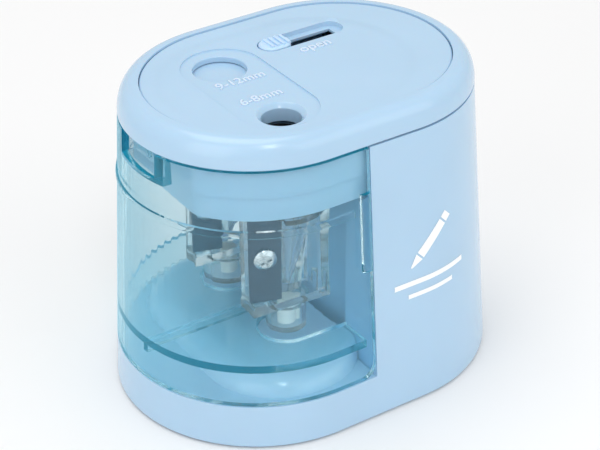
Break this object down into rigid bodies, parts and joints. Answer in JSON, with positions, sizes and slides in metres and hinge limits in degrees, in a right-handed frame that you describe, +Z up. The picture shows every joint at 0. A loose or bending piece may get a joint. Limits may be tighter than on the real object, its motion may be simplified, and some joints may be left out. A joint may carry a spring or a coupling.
{
  "type": "battery pencil sharpener",
  "caption": "Stadium-shaped desk pencil sharpener with a small and a large pencil hole, a sliding shutter over the large one, and a clear shavings bin that pulls off its end.",
  "frame": {"origin": "centre of the plan, on the surface the feet stand on", "axes": "+X along the length, from the bin end to the battery end; +Y across; +Z up"},
  "size_m": [0.0986, 0.0734, 0.0812],
  "materials": {
    "housing": "light blue, satin gloss",
    "knob": "light blue, satin gloss",
    "bay_wall": "blue, satin",
    "rubber": "matte",
    "steel": "bright",
    "cell": "satin wrap",
    "black": "matte",
    "red": "matte",
    "contact": "nickel plated",
    "brass": "satin",
    "white": "satin",
    "clear": "clear plastic",
    "blade": "ground steel",
    "bin": "clear cyan plastic"
  },
  "bodies": {
    "body": {"housing": "housing", "base_plate": "housing", "rubber_feet": "rubber", "case_screws": "steel", "battery_cells": "cell", "battery_head": "black", "battery_contacts": "contact", "motor_bay_wall": "bay_wall", "motor_can": "steel", "motor_endbell": "white", "motor_screws": "steel", "gear_pins": "steel", "gear_case": "housing", "gear_case_lid": "housing", "lid_screws": "steel", "top_cover": "housing", "top_plate": "housing", "start_lever_pin": "steel", "start_contacts": "brass", "bin_switch": "black"},
    "bin": {"shavings_bin": "bin"},
    "selector": {"shutter_plate": "housing", "selector_knob": "knob"},
    "front_cutter": {"front_cutter_gear": "white", "front_cutter_hub": "clear", "front_cutter_carrier": "clear", "front_blade": "blade", "front_blade_screw": "steel", "front_tail_spindle": "white"},
    "rear_cutter": {"rear_cutter_gear": "white", "rear_cutter_hub": "clear", "rear_cutter_carrier": "clear", "rear_blade": "blade", "rear_blade_screw": "steel", "rear_tail_spindle": "white"},
    "centre_gear": {"centre_gear": "white"},
    "compound_gear": {"compound_gear": "white"},
    "rotor": {"rotor_shaft": "steel", "motor_pinion": "brass"},
    "start_lever": {"start_lever": "white"},
    "bin_switch_plunger": {"bin_switch_plunger": "red"},
    "battery_door": {"battery_door": "housing", "door_contacts": "contact"}
  },
  "joints": [
    {"name": "bin_slide", "type": "slide", "parent": "body", "child": "bin", "axis": [-1, 0, 0], "range_m": [0, 0.05]},
    {"name": "selector_slide", "type": "slide", "parent": "body", "child": "selector", "axis": [1, 0, 0], "range_m": [0, 0.014]},
    {"name": "front_cutter_spin", "type": "hinge", "parent": "body", "child": "front_cutter", "pos_m": [-0.0153, -0.0168, 0.06], "axis": [0, 0, 1], "continuous": true},
    {"name": "rear_cutter_spin", "type": "hinge", "parent": "body", "child": "rear_cutter", "pos_m": [-0.0153, 0.0104, 0.06], "axis": [0, 0, 1], "continuous": true},
    {"name": "centre_gear_spin", "type": "hinge", "parent": "body", "child": "centre_gear", "pos_m": [-0.00351, -0.0032, 0.064], "axis": [0, 0, 1], "continuous": true},
    {"name": "compound_gear_spin", "type": "hinge", "parent": "body", "child": "compound_gear", "pos_m": [0.00363, -0.01382, 0.066], "axis": [0, 0, 1], "continuous": true},
    {"name": "rotor_spin", "type": "hinge", "parent": "body", "child": "rotor", "pos_m": [0.0145, -0.0032, 0.06], "axis": [0, 0, 1], "continuous": true},
    {"name": "start_lever_hinge", "type": "hinge", "parent": "body", "child": "start_lever", "pos_m": [-0.0064, -0.0242, 0.0748], "axis": [0, 0, -1], "range_deg": [0, 5], "stiffness_Nm_per_rad": 0.02},
    {"name": "bin_switch_press", "type": "slide", "parent": "body", "child": "bin_switch_plunger", "axis": [1, 0, 0], "range_m": [0, 0.0012], "stiffness_N_per_m": 300},
    {"name": "battery_door_hinge", "type": "hinge", "parent": "body", "child": "battery_door", "pos_m": [0.0167, 0, 0.0017], "axis": [0, 1, 0], "range_deg": [0, 80]}
  ],
  "couplings": [
    {"joint": "rear_cutter_spin", "follows": "front_cutter_spin", "ratio": 1},
    {"joint": "centre_gear_spin", "follows": "front_cutter_spin", "ratio": -1.25},
    {"joint": "compound_gear_spin", "follows": "front_cutter_spin", "ratio": 2.0833},
    {"joint": "rotor_spin", "follows": "front_cutter_spin", "ratio": -5.8333}
  ]
}
